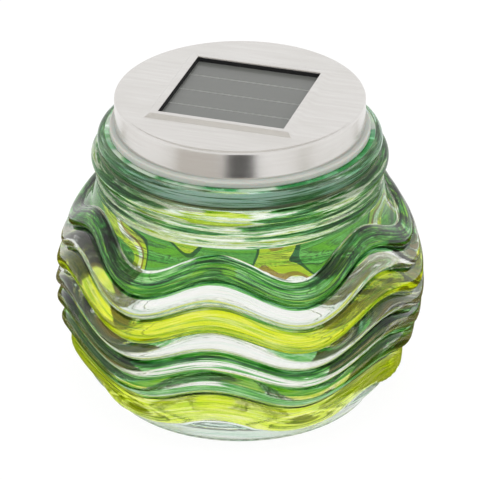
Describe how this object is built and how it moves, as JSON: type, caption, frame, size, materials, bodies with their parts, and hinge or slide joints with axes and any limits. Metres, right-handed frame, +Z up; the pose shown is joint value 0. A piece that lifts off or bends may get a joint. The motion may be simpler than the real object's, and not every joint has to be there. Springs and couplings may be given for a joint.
{
  "type": "solar jar light",
  "caption": "Round pressed-glass jar with wavy ribs in green, yellow and clear bands, and a plug-in steel lid with a square solar panel that lights a lamp inside the jar.",
  "frame": {"origin": "centre of the foot, on the surface that the jar stands on", "axes": "+Z up along the jar's axis, +X along the strips of the solar panel, -Y towards the viewer"},
  "size_m": [0.1166, 0.1166, 0.1008],
  "materials": {
    "jar_glass": "pressed clear glass with translucent green and yellow bands",
    "steel": "brushed stainless sheet",
    "foam": "matt black foam",
    "panel_board": "dark board under clear resin",
    "solar_cell": "dark grey cells under clear resin",
    "frosted_plastic": "frosted translucent white",
    "silicone": "clear silicone",
    "cover_plastic": "satin white",
    "plated_steel": "nickel plated",
    "circuit_green": "green solder mask",
    "black_plastic": "matt black",
    "ferrite": "dark ferrite with copper wire",
    "led_resin": "clear resin",
    "battery_sleeve": "green shrink sleeve",
    "switch_plastic": "dark grey",
    "wire_red": "red insulation",
    "wire_black": "black insulation"
  },
  "bodies": {
    "jar": {"jar": "jar_glass"},
    "seal": {"seal_ring": "silicone"},
    "lid": {"lid_cap": "steel", "panel_gasket": "foam", "solar_board": "panel_board", "solar_cells": "solar_cell", "housing": "frosted_plastic", "bottom_cover": "cover_plastic", "cover_screws": "plated_steel", "circuit_board": "circuit_green", "driver_chip": "black_plastic", "inductor": "ferrite", "led_lens": "led_resin", "led_leads": "plated_steel", "battery": "battery_sleeve", "battery_spring": "plated_steel", "spring_plate": "plated_steel", "battery_contact": "plated_steel", "switch_body": "switch_plastic", "panel_wire_red": "wire_red", "panel_wire_black": "wire_black", "battery_wire_red": "wire_red", "battery_wire_black": "wire_black"},
    "switch": {"switch_knob": "black_plastic"}
  },
  "joints": [
    {"name": "lid_lift", "type": "slide", "parent": "jar", "child": "seal", "axis": [0, 0, 1], "range_m": [0, 0.06]},
    {"name": "lid_turn", "type": "hinge", "parent": "seal", "child": "lid", "pos_m": [0, 0, 0.084], "axis": [0, 0, 1], "continuous": true},
    {"name": "switch_slide", "type": "slide", "parent": "lid", "child": "switch", "axis": [1, 0, 0], "range_m": [0, 0.004]}
  ]
}
